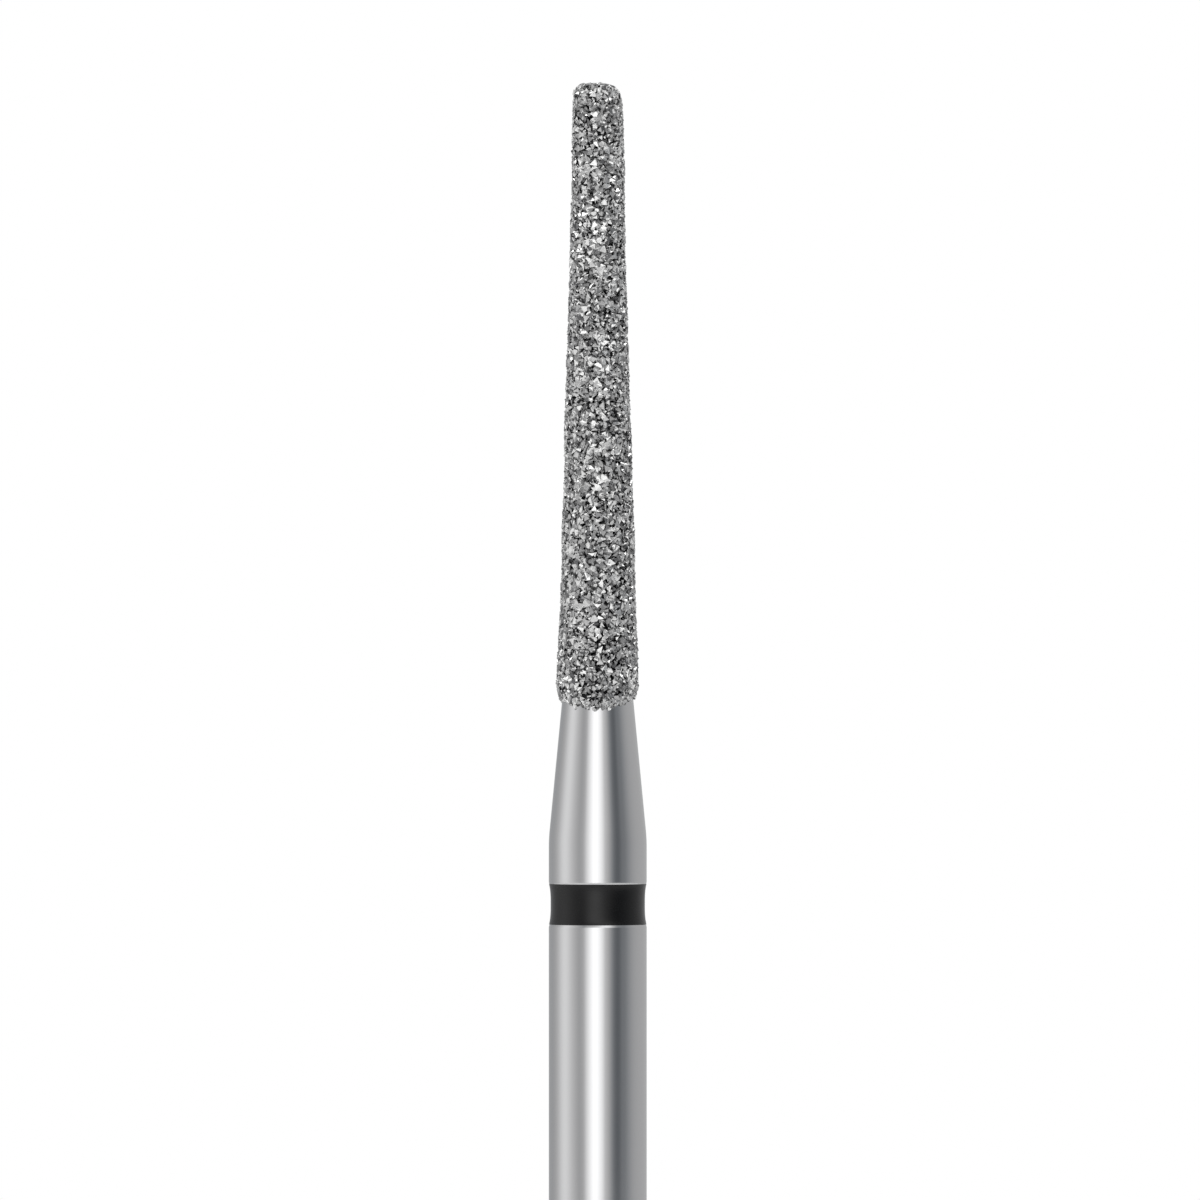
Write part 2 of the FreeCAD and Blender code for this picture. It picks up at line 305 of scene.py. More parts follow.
def rings_to_mesh(rings: Points, poles: bool) -> tuple[Points, list[list[int]]]:
    """Joins rings of points into one closed surface.

    Ring follows ring with the outside to the right of the way up. With poles, the first and the
    last ring close onto the axis at their own heights. Without, the last ring joins the first.

    Args:
        rings: points by ring and column, in millimetres.
        poles: whether the surface ends on the axis.

    Returns:
        All points, and the point numbers of each face.
    """
    count, columns = rings.shape[:2]
    numbers = np.arange(count * columns).reshape(count, columns)
    points = rings.reshape(-1, 3)
    if not poles:
        return points, ring_quads(np.vstack([numbers, numbers[:1]])).tolist()
    ends = np.array([[0, 0, rings[0, :, 2].mean()], [0, 0, rings[-1, :, 2].mean()]])
    beside = np.roll(numbers, -1, axis=1)
    foot = np.stack([np.full(columns, len(points)), beside[0], numbers[0]], axis=-1)
    head = np.stack([np.full(columns, len(points) + 1), numbers[-1], beside[-1]], axis=-1)
    faces = ring_quads(numbers).tolist() + foot.tolist() + head.tolist()
    return np.vstack([points, ends]), faces


def make_piece(
    name: str, points: Points, faces: list[list[int]], shading: Shading, sharp_degrees: float = 12.0
) -> Object:
    """Makes an object from points in millimetres and links it to the scene.

    Args:
        name: the piece's name.
        points: the places of its points, in millimetres.
        faces: the point numbers of each face.
        shading: whether the faces blend or stay flat.
        sharp_degrees: on a smooth piece, the bend from which an edge stays crisp.

    Returns:
        The new object, at the origin with its place in its mesh.
    """
    mesh = bpy.data.meshes.new(name)
    mesh.from_pydata((points * MM).tolist(), [], faces)
    smooth = shading is Shading.SMOOTH
    mesh.polygons.foreach_set("use_smooth", np.full(len(mesh.polygons), smooth))
    if smooth:
        mesh.set_sharp_from_angle(angle=math.radians(sharp_degrees))
    mesh.update()
    piece = bpy.data.objects.new(name, mesh)
    bpy.context.scene.collection.objects.link(piece)
    return piece


def store_number(piece: Object, name: str, domain: str, values: np.ndarray) -> None:
    """Stores one number for each point or face of a piece, for its material to read.

    Args:
        piece: the piece that keeps the numbers.
        name: what the numbers are called.
        domain: "POINT" or "FACE".
        values: the numbers, in the order of the points or faces.
    """
    attribute = piece.data.attributes.new(name, "FLOAT", domain)
    attribute.data.foreach_set("value", values.astype(np.float32))


def dress(piece: Object, material: Material, node: str) -> None:
    """Gives a piece its material and the CAD node that it stands for.

    Args:
        piece: the finished piece.
        material: its finish.
        node: the CAD node that the piece replaces.
    """
    piece.data.materials.append(material)
    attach(piece, BODY)
    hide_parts(node)
    LOG.info("%s: %d faces", piece.name, len(piece.data.polygons))


# Random forms.


def ripple(
    points: Points,
    wavelength: float,
    seed: int,
    waves: int = 24,
    spread: tuple[float, float] = (0.6, 1.6),
) -> np.ndarray:
    """Works out a smooth random height for each point.

    The height is the sum of plane waves sin(k p + f) with random directions and phases, scaled to
    a spread of 1, so it has no seam round the bur.

    Args:
        points: places in millimetres, with x, y and z last.
        wavelength: the waves' usual length in millimetres.
        seed: start of the random draw.
        waves: how many waves are added.
        spread: the shortest and longest wave, as shares of the wavelength.

    Returns:
        One height for each point.
    """
    draw = np.random.default_rng(seed)
    directions = draw.normal(size=(waves, 3))
    directions /= np.linalg.norm(directions, axis=1, keepdims=True)
    numbers = 2 * math.pi / (wavelength * draw.uniform(*spread, size=(waves, 1)))
    phases = draw.uniform(0, 2 * math.pi, size=waves)
    return np.sin(points @ (directions * numbers).T + phases).sum(axis=-1) * math.sqrt(2 / waves)


def random_turns(count: int, draw: np.random.Generator) -> np.ndarray:
    """Draws random turns from unit quaternions (w, x, y, z).

    Args:
        count: how many turns.
        draw: the random draw.

    Returns:
        One rotation matrix for each.
    """
    quaternion = draw.normal(size=(count, 4))
    w, x, y, z = (quaternion / np.linalg.norm(quaternion, axis=1, keepdims=True)).T
    rows = [
        [1 - 2 * (y * y + z * z), 2 * (x * y - w * z), 2 * (x * z + w * y)],
        [2 * (x * y + w * z), 1 - 2 * (x * x + z * z), 2 * (y * z - w * x)],
        [2 * (x * z - w * y), 2 * (y * z + w * x), 1 - 2 * (x * x + y * y)],
    ]
    return np.stack([np.stack(row, axis=-1) for row in rows], axis=1)


# Finishes.


@dataclass(frozen=True)
class GroundStainlessSteel:
    """Hardened stainless steel, ground between wheels and polished bright.

    Grinding leaves hair-fine rings round the bur, so light smears a little along it, and handling
    leaves faint cloudy patches in the shine.
    """

    colour: str = "#C6C6C7"
    roughness: tuple[float, float] = (0.10, 0.14)
    cloud_mm: float = 1.6
    ring_mm: float = 0.05
    ring_depth_mm: float = 0.00025
    ring_stretch: float = 0.04

    def material(self) -> Material:
        """Builds the material.

        Returns:
            A metal whose fine rings are noise drawn out round the axis. The real rings are some
            micrometres wide and would not show, so they are drawn ten times as wide.
        """
        material, tree = new_material("ground_stainless_steel")
        place = add_node(tree, "TexCoord").outputs["Object"]
        drawn_out = add_node(
            tree,
            "Mapping",
            inputs={"Vector": place, "Scale": (self.ring_stretch, self.ring_stretch, 1.0)},
        )
        rings = add_node(
            tree,
            "TexNoise",
            inputs={
                "Vector": drawn_out.outputs["Vector"],
                "Scale": 1 / (self.ring_mm * MM),
                "Detail": 2.0,
            },
        )
        clouds = add_node(
            tree,
            "TexNoise",
            inputs={"Vector": place, "Scale": 1 / (self.cloud_mm * MM), "Detail": 3.0},
        )
        close_finish(
            tree,
            Shine(clouds.outputs["Fac"], self.roughness),
            Relief(rings.outputs["Fac"], self.ring_depth_mm),
            {"Base Color": hex_to_linear(self.colour), "Metallic": 1.0},
        )
        return material


@dataclass(frozen=True)
class GlossBlackLacquer:
    """Baked black lacquer, run into the groove while it was liquid.

    It is black with a wet gloss, and its skin has the slight waviness of a poured coat.
    """

    colour: str = "#070708"
    roughness: tuple[float, float] = (0.20, 0.30)
    index: float = 1.38
    wave_mm: float = 0.35
    wave_depth_mm: float = 0.0004

    def material(self) -> Material:
        """Builds the material.

        Returns:
            A black coat with a wavy skin and patches that are a little duller.
        """
        material, tree = new_material("gloss_black_lacquer")
        place = add_node(tree, "TexCoord").outputs["Object"]
        skin = add_node(
            tree,
            "TexNoise",
            inputs={"Vector": place, "Scale": 1 / (self.wave_mm * MM), "Detail": 1.0},
        )
        close_finish(
            tree,
            Shine(skin.outputs["Fac"], self.roughness),
            Relief(skin.outputs["Fac"], self.wave_depth_mm),
            {"Base Color": hex_to_linear(self.colour), "IOR": self.index},
        )
        return material


@dataclass(frozen=True)
class SatinNickelPlate:
    """Nickel plated from a bath, which grows in fine nodules between the crystals.

    It is a satin grey metal, painted far darker than bare nickel as painted shade for the deep
    gaps between the crystals, the only places where it shows.
    """

    # Partly painted shade: much darker than bare nickel, for the shaded gaps between crystals.
    colour: str = "#343436"
    roughness: tuple[float, float] = (0.336, 0.546)
    roughness_span: tuple[float, float] = (0.0, 0.8)
    nodule_mm: float = 0.02
    nodule_depth_mm: float = 0.006

    def material(self) -> Material:
        """Builds the material.

        Returns:
            A dull grey metal with a grain of nodules. The real ones are some micrometres wide
            and would not show, so they are drawn about four times as wide.
        """
        material, tree = new_material("satin_nickel_plate")
        place = add_node(tree, "TexCoord").outputs["Object"]
        nodules = add_node(
            tree, "TexVoronoi", inputs={"Vector": place, "Scale": 1 / (self.nodule_mm * MM)}
        ).outputs["Distance"]
        close_finish(
            tree,
            Shine(nodules, self.roughness, self.roughness_span),
            Relief(nodules, self.nodule_depth_mm, sunk=True),
            {"Base Color": hex_to_linear(self.colour), "Metallic": 1.0},
        )
        return material


@dataclass(frozen=True)
class NickelFlashedDiamond:
    """Synthetic diamond crystals under a thin flash of nickel, as plated grit is.

    Each flat face mirrors one part of the room, so bright and dark facets lie side by side. The
    faces differ in how much nickel they took, and those that lie deep are painted darker, as
    painted shade for the gaps that light hardly reaches.
    """

    dark: str = "#505052"
    pale: str = "#F4F4F3"
    # Painted shade: the colour that faces lying deep in the gaps are darkened towards.
    foot: str = "#202022"
    metallic: float = 0.85
    roughness: tuple[float, float] = (0.162, 0.378)
    etch_mm: float = 0.03
    etch_depth_mm: float = 0.0015

    def material(self) -> Material:
        """Builds the material.

        Returns:
            A bright grey finish whose colour follows the tone and the painted shade stored for each
            face.
            The faces are faintly etched, drawn coarser than the real etching, so that it shows.
        """
        material, tree = new_material("nickel_flashed_diamond")
        place = add_node(tree, "TexCoord").outputs["Object"]
        tone = add_node(tree, "Attribute", {"attribute_name": "tone"}).outputs["Fac"]
        # Painted shade: the stored share of each face that stays unshaded, 0 for faces lying deep.
        unshaded_share = add_node(tree, "Attribute", {"attribute_name": "unshaded_share"}).outputs["Fac"]
        etch = add_node(
            tree,
            "TexNoise",
            inputs={"Vector": place, "Scale": 1 / (self.etch_mm * MM), "Detail": 2.0},
        )
        face = add_node(
            tree,
            "Mix",
            {"data_type": "RGBA"},
            {0: tone, 6: hex_to_linear(self.dark), 7: hex_to_linear(self.pale)},
        )
        # Painted shade: faces that lie deep are mixed towards the dark foot colour.
        shade = add_node(
            tree,
            "Mix",
            {"data_type": "RGBA"},
            {0: unshaded_share, 6: hex_to_linear(self.foot), 7: face.outputs[2]},
        )
        close_finish(
            tree,
            Shine(etch.outputs["Fac"], self.roughness),
            Relief(etch.outputs["Fac"], self.etch_depth_mm),
            {"Base Color": shade.outputs[2], "Metallic": self.metallic},
        )
        return material


# The shank, the neck and the core.


@dataclass
class SteelBlank:
    """The steel blank, turned in one piece: shank, groove, neck, shoulder and core."""

    shank_radius: float = 0.800
    end_chamfer: float = 0.200
    end_easing: float = 0.01
    lead_in_easing: float = 0.02
    groove_low: float = 8.255
    groove_high: float = 8.905
    groove_radius: float = 0.735
    groove_hollow: float = 0.015
    low_edge_run: float = 0.048
    low_edge_easing: float = 0.008
    high_edge_run: float = 0.035
    high_edge_easing: float = 0.018
    edge_slope: float = 0.27
    shank_top: float = 9.650
    neck_easing: float = 0.14
    neck_top: float = 11.980
    neck_top_radius: float = 0.5754
    shoulder_top: float = 12.050
    core_radius: float = 0.5025
    core_tip: float = 21.830
    core_tip_radius: float = 0.235
    core_chamfer: float = 0.030
    columns: int = 256
    finish: GroundStainlessSteel = field(default_factory=GroundStainlessSteel)

    def profile(self) -> Profile:
        """Draws the blank's outline from the middle of its end face to the tip of its core.

        Returns:
            Radius and height of each point, with the ends a hair off the axis.
        """
        radius = self.shank_radius
        low_edge = radius - self.edge_slope * self.low_edge_run
        high_edge = radius - self.edge_slope * self.high_edge_run
        below = bend_corners(
            [
                (NEAR_AXIS, 0, 0),
                (radius - self.end_chamfer, 0, self.end_easing),
                (radius, self.end_chamfer, self.lead_in_easing),
                (radius, self.groove_low - self.low_edge_run, self.low_edge_easing),
                (low_edge, self.groove_low, 0),
            ]
        )
        groove = hollow_side(
            self.groove_radius, self.groove_low, self.groove_high, self.groove_hollow, 2
        )
        above = bend_corners(
            [
                (high_edge, self.groove_high, 0),
                (radius, self.groove_high + self.high_edge_run, self.high_edge_easing),
                (radius, self.shank_top, self.neck_easing),
                (self.neck_top_radius, self.neck_top, 0),
                (self.core_radius, self.shoulder_top, 0),
                (self.core_tip_radius, self.core_tip - self.core_chamfer, 0),
                (self.core_tip_radius - self.core_chamfer, self.core_tip, 0),
                (NEAR_AXIS, self.core_tip, 0),
            ]
        )
        return np.concatenate([below, groove, above])

    def build(self) -> None:
        """Turns the blank and dresses it."""
        points, faces = rings_to_mesh(turn_profile(self.profile(), self.columns), poles=True)
        piece = make_piece("turned_blank", points, faces, Shading.SMOOTH)
        dress(piece, self.finish.material(), "steel_blank")


# The colour band.


@dataclass
class ColourBand:
    """The ring of lacquer in the groove, whose skin climbs to both edges as a liquid does."""

    low: float = 8.250
    high: float = 8.910
    edge_radius: float = 0.797
    skin_hollow: float = 0.027
    skin_power: float = 3.0
    blank: SteelBlank = field(default_factory=SteelBlank)
    columns: int = 256
    finish: GlossBlackLacquer = field(default_factory=GlossBlackLacquer)

    def profile(self) -> Profile:
        """Draws the ring's section, up its skin and down its inner side.

        Returns:
            Radius and height of each point.
        """
        skin = hollow_side(self.edge_radius, self.low, self.high, self.skin_hollow, self.skin_power)
        blank = self.blank
        inner = hollow_side(blank.groove_radius, self.low, self.high, blank.groove_hollow, 2)
        return np.concatenate([skin, inner[::-1]])

    def build(self) -> None:
        """Turns the ring and dresses it."""
        points, faces = rings_to_mesh(turn_profile(self.profile(), self.columns), poles=False)
        piece = make_piece("lacquer_band", points, faces, Shading.SMOOTH, sharp_degrees=40)
        dress(piece, self.finish.material(), "colour_band")


# The diamond head.


@dataclass
class HeadForm:
    """The form that the crystals' outer corners lie on, from the rim on the neck to the tip."""

    rim_height: float = 11.800
    rim_radius: float = 0.6327
    base_height: float = 12.010
    base_radius: float = 0.6725
    base_easing: float = 0.06
    tip_height: float = 22.000
    tip_radius: float = 0.405
    tip_easing: float = 0.24
    tip_wear: float = 0.115
    tip_wear_run: float = 0.19
    waist: float = 0.022
    hip: float = 0.017
    lumps: float = 0.005
    lump_mm: float = 1.3
    lump_seed: int = 11
    skirt_wave: float = 0.200
    skirt_tilt: float = 0.03
    skirt_lift: float = 0.185
    skirt_fade: float = 0.80
    skirt_rag: float = 0.02
    rag_mm: float = 0.35
    rag_seed: int = 7
    corner_steps: int = 24
    samples: int = 1400

    def __post_init__(self) -> None:
        """Draws the form's profile once, with its running length and its outward direction."""
        corners = [
            (self.rim_radius, self.rim_height, 0),
            (self.base_radius, self.base_height, self.base_easing),
            (self.tip_radius, self.tip_height, self.tip_easing),
            (0.0, self.tip_height, 0),
        ]
        self.line = even_spacing(bend_corners(corners, self.corner_steps), self.samples)
        steps = np.linalg.norm(np.diff(self.line, axis=0), axis=1)
        self.run = np.concatenate([[0], np.cumsum(steps)])
        along = np.gradient(self.line, axis=0)
        outward = np.stack([along[:, 1], -along[:, 0]], axis=1)
        self.outward = outward / np.linalg.norm(outward, axis=1, keepdims=True)

    @property
    def length(self) -> float:
        """Length of the profile from the rim to the middle of the tip."""
        return float(self.run[-1])

    def run_by_area(self, share: np.ndarray) -> np.ndarray:
        """Finds how far up the profile each share of the head's surface reaches.

        Args:
            share: shares of the surface, counted from the rim.

        Returns:
            Distances from the rim along the profile.
        """
        area = np.cumsum(self.line[:, 0])
        return np.interp(share * area[-1], area, self.run)

    def read(self, run: np.ndarray) -> tuple[np.ndarray, np.ndarray, np.ndarray, np.ndarray]:
        """Reads the profile at places along its length.

        Args:
            run: distances from the rim, in millimetres. A distance below 0 is under the rim.

        Returns:
            Radius, height and the two parts of the outward direction at each place.
        """
        columns = (*self.line.T, *self.outward.T)
        radius, height, out_radius, out_height = (
            np.interp(run, self.run, column) for column in columns
        )
        return radius, height + np.minimum(run, 0), out_radius, out_height

    def nearest(self, points: Points) -> np.ndarray:
        """Finds the place on the profile that is nearest to each point.

        Args:
            points: places near the form.

        Returns:
            Distances from the rim along the profile.
        """
        flat = np.stack([np.hypot(points[:, 0], points[:, 1]), points[:, 2]], axis=1)
        squares = (flat**2).sum(1)[:, None] + (self.line**2).sum(1) - 2 * flat @ self.line.T
        return self.run[squares.argmin(axis=1)]

    def skirt(self, run: np.ndarray, angle: np.ndarray) -> np.ndarray:
        """Works out how the ragged lower border shifts the coat's height.

        The border is lift - wave sin(a)^2 + tilt cos(a) plus a random rag, and the shift fades by
        exp(-run / fade) up the head.

        Args:
            run: distances from the rim along the profile.
            angle: angles round the axis, from +X.

        Returns:
            The shift in height.
        """
        around = around_axis(1.0, angle, 0.0)
        border = self.skirt_lift - self.skirt_wave * around[..., 1] ** 2
        border = border + self.skirt_tilt * around[..., 0]
        rag = ripple(around * self.rim_radius, self.rag_mm, self.rag_seed)
        border = border + self.skirt_rag * rag
        return border * np.exp(-np.clip(run, 0, None) / self.skirt_fade)

    def place(self, run: np.ndarray, angle: np.ndarray, depth: np.ndarray) -> tuple[Points, Points]:
        """Finds points under the form, with the plating's unevenness.

        The radius is drawn in by waist sin(pi t^2)^2 + hip sin(pi t^(1/2))^2, where t is the
        share of the head's length, so the waist lies near the tip and the hip near the rim. The
        tip is worn on its +X side by wear (x / tip radius)^2 exp(-h / run), h below the tip.
        Smooth random lumps come on top.

        Args:
            run: distances from the rim along the profile.
            angle: angles round the axis, from +X.
            depth: how far each point lies under the form.

        Returns:
            The points, and the outward direction at each.
        """
        radius, height, out_radius, out_height = self.read(run)
        share = np.clip((height - self.base_height) / (self.tip_height - self.base_height), 0, 1)
        outward = around_axis(out_radius, angle, out_height)
        bare = around_axis(radius, angle, height)
        drawn_in = self.waist * np.sin(math.pi * share**2) ** 2
        drawn_in = drawn_in + self.hip * np.sin(math.pi * np.sqrt(share)) ** 2
        side = np.clip(bare[..., 0] / self.tip_radius, 0, 1) ** 2
        drawn_in += self.tip_wear * side * np.exp((height - self.tip_height) / self.tip_wear_run)
        sunk = depth + drawn_in - self.lumps * ripple(bare, self.lump_mm, self.lump_seed)
        points = bare - outward * sunk[..., None]
        points[..., 2] += self.skirt(run, angle)
        return points, outward


@dataclass
class NickelBond:
    """The plated nickel that holds the crystals, a sleeve on the core with a closed tip."""

    blank: SteelBlank = field(default_factory=SteelBlank)
    neck_slope: float = 0.0964
    depth: float = 0.098
    rim_depth: float = 0.030
    rim_start: float = 0.05
    rim_run: float = 0.30
    climb: float = 0.030
    climb_reach: float = 0.055
    grain: float = 0.004
    grain_mm: float = 0.12
    grain_seed: int = 19
    rings: int = 320
    columns: int = 128
    finish: SatinNickelPlate = field(default_factory=SatinNickelPlate)

    def seat(self, form: HeadForm) -> Points:
        """Turns the side that seats on the core and the neck, from the core's tip down.

        The last ring lies on the neck, whose radius grows by the slope for each millimetre down,
        and follows the ragged border.

        Args:
            form: the head's form.

        Returns:
            Points by ring and column.
        """
        blank = self.blank
        profile = np.array(
            [
                (NEAR_AXIS, blank.core_tip),
                (blank.core_tip_radius, blank.core_tip),
                (blank.core_radius, blank.shoulder_top),
                (blank.neck_top_radius, blank.neck_top),
            ]
        )
        angle = 2 * math.pi * np.arange(self.columns) / self.columns
        height = form.rim_height + self.rim_start + form.skirt(np.zeros_like(angle), angle)
        radius = blank.neck_top_radius + self.neck_slope * (blank.neck_top - height)
        border = around_axis(radius, angle, height)
        return np.concatenate([turn_profile(profile, self.columns), border[None]])

    def skin(self, form: HeadForm, crystals: Points) -> Points:
        """Works out the outer side, which climbs towards each crystal.

        The depth under the form eases from the rim's to the full one, and the metal climbs by
        climb exp(-(d / reach)^2), where d is the distance to the nearest crystal's middle.
        Crystals more than four reaches above or below add nothing and are left out.

        Args:
            form: the head's form.
            crystals: the crystals' middles.

        Returns:
            Points by ring and column.
        """
        run = np.linspace(self.rim_start, form.length - NEAR_AXIS, self.rings)
        angle = 2 * math.pi * np.arange(self.columns) / self.columns
        run, angle = np.meshgrid(run, angle, indexing="ij")
        ease = np.clip(run / self.rim_run, 0, 1)
        depth = self.rim_depth + (self.depth - self.rim_depth) * ease * ease * (3 - 2 * ease)
        flat, _ = form.place(run, angle, depth)
        squares = np.full(flat.shape[:2], np.inf)
        for ring, row in enumerate(flat):
            near = crystals[np.abs(crystals[:, 2] - row[0, 2]) < 4 * self.climb_reach]
            if len(near):
                squares[ring] = ((row[:, None] - near[None]) ** 2).sum(-1).min(axis=1)
        climb = self.climb * np.exp(-squares / self.climb_reach**2) * ease
        grain = self.grain * ripple(flat, self.grain_mm, self.grain_seed) * ease
        return form.place(run, angle, depth - climb - grain)[0]

    def build(self, form: HeadForm, crystals: Points) -> None:
        """Makes the sleeve and dresses it.

        Args:
            form: the head's form.
            crystals: the crystals' middles.
        """
        rings = np.concatenate([self.seat(form), self.skin(form, crystals)])
        points, faces = rings_to_mesh(rings, poles=True)
        piece = make_piece("nickel_bond", points, faces, Shading.SMOOTH, sharp_degrees=50)
        dress(piece, self.finish.material(), "diamond_coat")


@dataclass
class DiamondLayer:
    """What both layers of diamond share: uneven crystals, seated in the nickel at random turns.

    Of what stands proud of the form only a share stays, as grit settles with its flat sides out.
    A face keeps its full tone from the painted shade's top up, and is painted as dark as the foot
    colour where it lies the painted shade's depth below that: painted shade for faces that light
    hardly reaches.
    """

    count: int
    size_mm: float
    size_spread: float
    stretch: tuple[float, float]
    chipping: float
    sunk: float
    sunk_spread: float
    proud_share: float
    seed: int
    # Painted shade: where faces start to darken, and over what depth they reach the foot colour.
    painted_shade_top: float = -0.004
    painted_shade_depth: float = 0.034
    finish: NickelFlashedDiamond = field(default_factory=NickelFlashedDiamond)

    def seat(
        self,
        corners: Points,
        half: np.ndarray,
        depth: np.ndarray,
        seats: tuple[Points, Points],
        draw: np.random.Generator,
    ) -> tuple[Points, np.ndarray]:
        """Stretches, chips and turns each crystal at random and seats it.

        Args:
            corners: the corners by crystal, about the crystal's middle and at a reach of 1.
            half: half of each crystal's size.
            depth: how far each crystal's middle lies under the form.
            seats: each crystal's middle, and the outward direction there.
            draw: the random draw.

        Returns:
            The corners' places, and their heights above the form before they settle.
        """
        middles, outward = seats
        count = len(middles)
        corners = corners * draw.uniform(*self.stretch, size=(count, 1, 3))
        corners = corners * (1 + self.chipping * draw.normal(size=(*corners.shape[:2], 1)))
        corners = np.einsum("nij,nkj->nki", random_turns(count, draw), corners)
        corners = corners * half[:, None, None]
        height = np.einsum("nij,nj->ni", corners, outward) - depth[:, None]
        proud = (1 - self.proud_share) * np.clip(height, 0, None)
        corners -= proud[..., None] * outward[:, None]
        return corners + middles[:, None], height

    def make(
        self,
        name: str,
        corners: Points,
        height: np.ndarray,
        sides: list[list[int]],
        tones: np.ndarray,
    ) -> None:
        """Makes the whole layer as one faceted piece and dresses it.

        Args:
            name: the piece's name.
            corners: the corners' places by crystal.
            height: their heights above the form before they settle.
            sides: the corner numbers of each side of one crystal.
            tones: a shade from 0, dark, to 1, pale, for each side and then each crystal.
        """
        starts = corners.shape[1] * np.arange(len(corners))[:, None]
        faces = []
        for side in sides:
            faces += (starts + np.array(side)).tolist()
        piece = make_piece(name, corners.reshape(-1, 3), faces, Shading.FACETED)
        level = np.concatenate([height[:, side].mean(axis=1) for side in sides])
        # Painted shade: faces lying deeper keep a smaller share of their tone.
        unshaded_share = np.clip(1 + (level - self.painted_shade_top) / self.painted_shade_depth, 0, 1)
        store_number(piece, "tone", "FACE", tones)
        store_number(piece, "unshaded_share", "FACE", unshaded_share)
        dress(piece, self.finish.material(), "diamond_coat")


@dataclass
class DiamondGrit(DiamondLayer):
    """The crystals: coarse grit of one sieve size, scattered in a single layer.

    A few fines, which are smaller, lie along the ragged border.
    """

    count: int = 4100
    size_mm: float = 0.124
    size_spread: float = 0.14
    stretch: tuple[float, float] = (0.55, 1.45)
    chipping: float = 0.09
    sunk: float = 0.047
    sunk_spread: float = 0.004
    proud_share: float = 0.40
    seed: int = 41
    cut: tuple[float, float] = (0.03, 0.32)
    crystal_share: float = 0.25
    fines: int = 220
    fines_size: float = 0.66
    fines_run: tuple[float, float] = (-0.035, 0.10)
    fines_sunk: float = 0.032
    rim_shrink: float = 0.10
    rim_run: float = 0.30
    settling_steps: int = 40
    settling_reach: float = 1.25
    settling_push: float = 0.3

    def scatter(self, form: HeadForm, draw: np.random.Generator) -> tuple[np.ndarray, np.ndarray]:
        """Scatters the crystals evenly over the form.

        They start at random, as many to each piece of surface, and each then moves away from
        the ones nearer than the reach, by weights (1 - d / reach) / d, and back onto the form.
        The reach and the push are shares of the room that each crystal has.

        Args:
            form: the head's form.
            draw: the random draw.

        Returns:
            Each crystal's distance from the rim along the profile, and its angle.
        """
        run = form.run_by_area(draw.uniform(0, 1, self.count))
        angle = draw.uniform(0, 2 * math.pi, self.count)
        area = 2 * math.pi * form.line[:, 0].mean() * form.length
        reach = self.settling_reach * math.sqrt(area / self.count)
        for _ in range(self.settling_steps):
            radius, height, _, _ = form.read(run)
            points = around_axis(radius, angle, height)
            lengths = (points**2).sum(1)
            squares = lengths[:, None] + lengths - 2 * points @ points.T
            distance = np.sqrt(np.clip(squares, 1e-12, None))
            push = np.clip(1 - distance / reach, 0, None) / distance
            np.fill_diagonal(push, 0)
            away = push.sum(1)[:, None] * points - push @ points
            points = points + self.settling_push * reach * away
            run = form.nearest(points)
            angle = np.arctan2(points[:, 1], points[:, 0])
        return run, angle

    @staticmethod
    def crystal_points(cut: np.ndarray) -> Points:
        """Works out the corners of octahedra whose six points are cut off.

        The corners are all orders and signs of (0, cut, 1 - cut), so a small cut leaves an
        octahedron and a cut near a half leaves a cuboctahedron.

        Args:
            cut: one cut for each crystal, as a share of an edge.

        Returns:
            24 corners for each crystal, the furthest at a distance of 1.
        """
        zero, small, large = np.zeros_like(cut), cut, 1 - cut
        orders = [(0, 1, 2), (0, 2, 1), (1, 0, 2), (2, 0, 1), (1, 2, 0), (2, 1, 0)]
        lengths = np.stack([zero, small, large], axis=1)
        signs = np.array([(1, 1), (1, -1), (-1, 1), (-1, -1)])
        corners = []
        for order in orders:
            base = lengths[:, list(order)]
            sides = [axis for axis in range(3) if order[axis] != 0]
            for sign in signs:
                corner = base.copy()
                corner[:, sides] *= sign
                corners.append(corner)
        return np.stack(corners, axis=1) / np.hypot(small, large)[:, None, None]

    @staticmethod
    def crystal_sides() -> list[list[int]]:
        """Finds the 14 sides of one crystal: 6 squares and 8 six-sided faces.

        A side holds the corners that lie furthest along its direction, in order round it.

        Returns:
            The corner numbers of each side, anticlockwise from outside.
        """
        corners = DiamondGrit.crystal_points(np.array([1 / 3]))[0]
        axes = [sign * np.eye(3)[axis] for axis in range(3) for sign in (1, -1)]
        slopes = [np.array((x, y, z)) for x in (1, -1) for y in (1, -1) for z in (1, -1)]
        sides = []
        for direction in (*axes, *slopes):
            reach = corners @ direction
            held = np.flatnonzero(reach > reach.max() - 1e-6)
            spokes = corners[held] - corners[held].mean(axis=0)
            first = spokes[0]
            second = np.cross(direction, first)
            across = spokes @ first / np.linalg.norm(first)
            upward = spokes @ second / np.linalg.norm(second)
            sides.append(held[np.argsort(np.arctan2(upward, across))].tolist())
        return sides

    def tones(self, sides: int, draw: np.random.Generator) -> np.ndarray:
        """Draws the shade of each face, part its crystal's and part its own.

        Args:
            sides: how many sides a crystal has.
            draw: the random draw.

        Returns:
            A number from 0, dark, to 1, pale, for each side and then each crystal.
        """
        own = draw.uniform(0, 1, size=(sides, self.count + self.fines))
        crystal = draw.uniform(0, 1, size=self.count + self.fines)
        return ((1 - self.crystal_share) * own + self.crystal_share * crystal).ravel()

